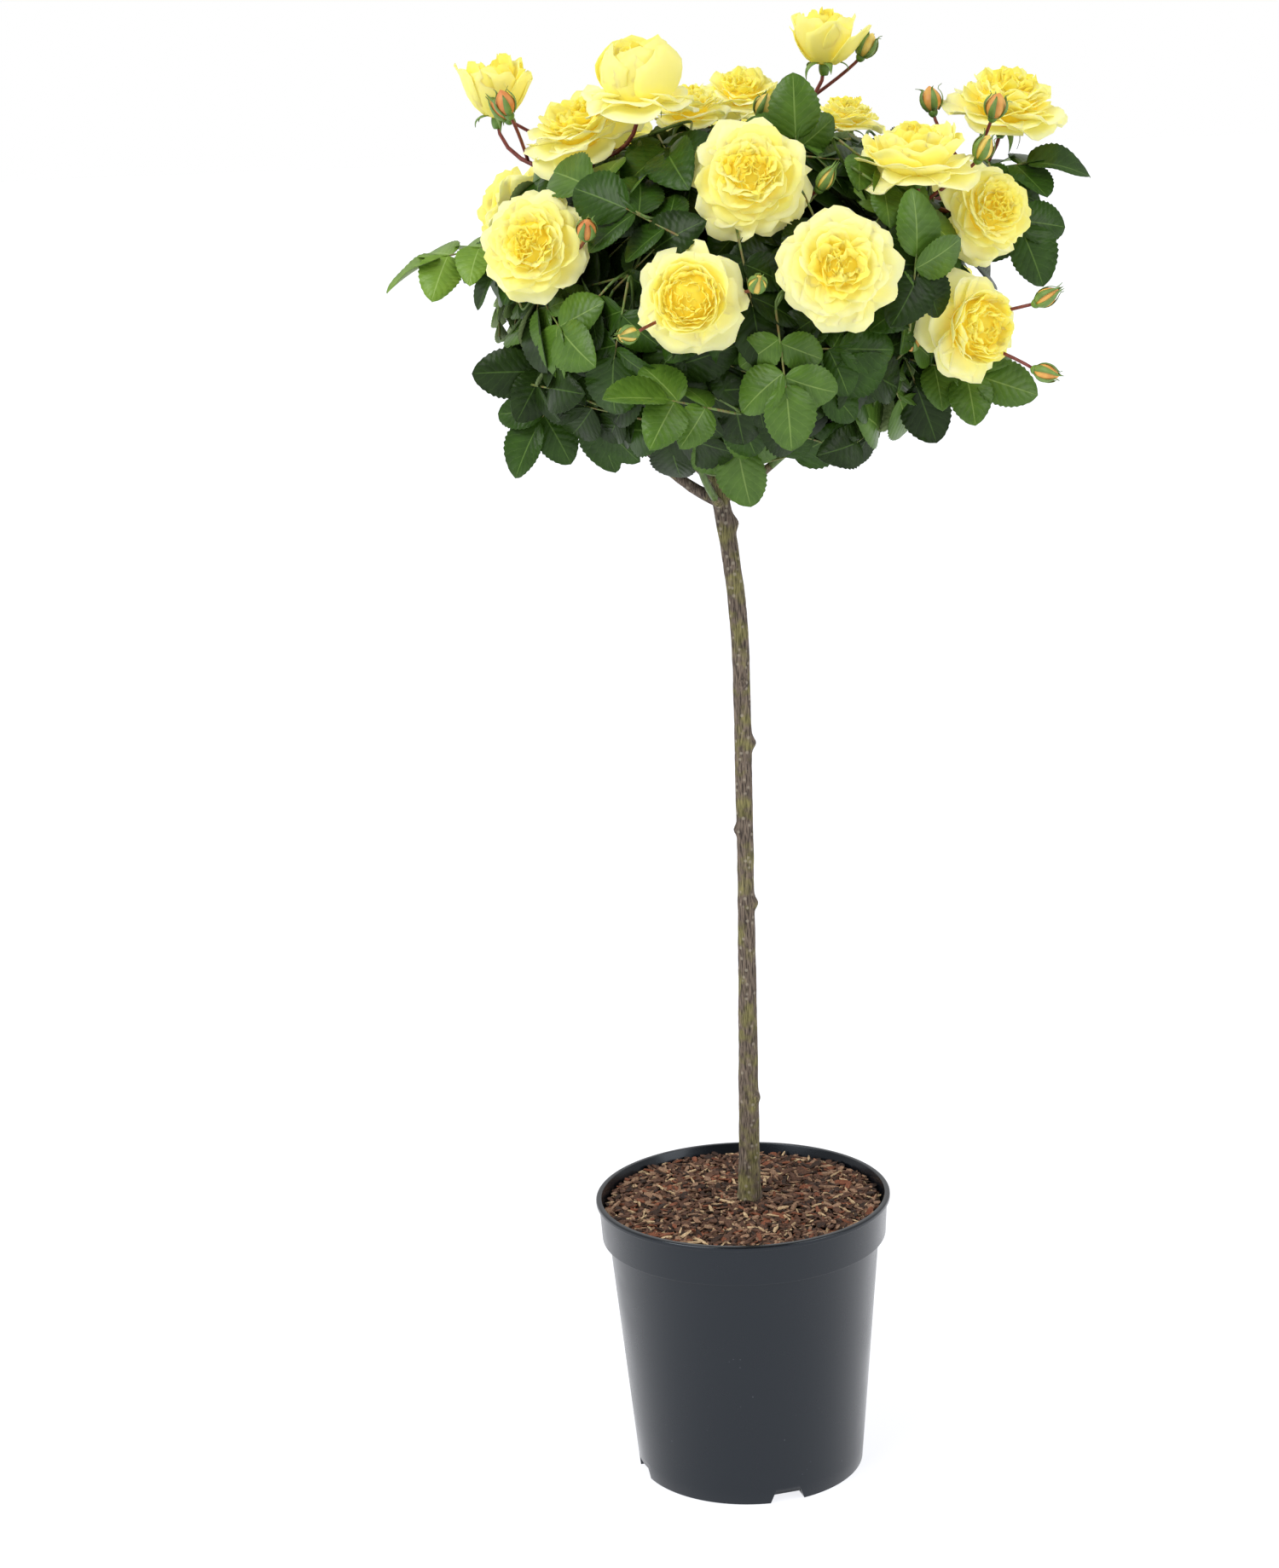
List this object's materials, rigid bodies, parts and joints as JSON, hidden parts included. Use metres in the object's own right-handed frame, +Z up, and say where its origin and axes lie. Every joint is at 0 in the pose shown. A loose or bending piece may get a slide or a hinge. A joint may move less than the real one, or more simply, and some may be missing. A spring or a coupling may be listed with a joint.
{
  "type": "standard rose tree in a nursery pot",
  "caption": "Grafted standard rose: bare upright stem, round leafy head with large many-petalled yellow flowers, in a round black plastic nursery pot with bark mulch.",
  "frame": {"origin": "middle of the pot's flat underside, on the ground", "axes": "+Z up along the pot's axis, -Y towards the plant's front, +X to the right as seen from the front"},
  "size_m": [0.5801, 0.477, 1.2723],
  "materials": {
    "pot_plastic": "blow-moulded black plastic with a soft sheen",
    "bark_mulch": "rough chipped bark",
    "rose_bark": "finely cracked grey-brown rose bark",
    "rose_growth": "green leaves and twigs with yellow petals"
  },
  "bodies": {
    "root": {"pot": "pot_plastic", "mulch": "bark_mulch", "trunk": "rose_bark", "bough_left": "rose_bark", "bough_left_top": "rose_bark", "bough_top": "rose_bark", "bough_front": "rose_bark", "bough_right_top": "rose_bark", "bough_right": "rose_bark", "bough_top_back": "rose_bark", "bough_back_left": "rose_bark", "bough_back": "rose_bark", "bough_back_right": "rose_bark", "bough_skirt_left": "rose_bark", "bough_skirt_right": "rose_bark", "bough_skirt_front": "rose_bark", "bough_skirt_back": "rose_bark", "mass_left": "rose_growth", "mass_left_top": "rose_growth", "mass_top": "rose_growth", "mass_front": "rose_growth", "mass_right_top": "rose_growth", "mass_right": "rose_growth", "mass_top_back": "rose_growth", "mass_back_left": "rose_growth", "mass_back": "rose_growth", "mass_back_right": "rose_growth", "mass_skirt_left": "rose_growth", "mass_skirt_right": "rose_growth", "mass_skirt_front": "rose_growth", "mass_skirt_back": "rose_growth"}
  },
  "joints": []
}
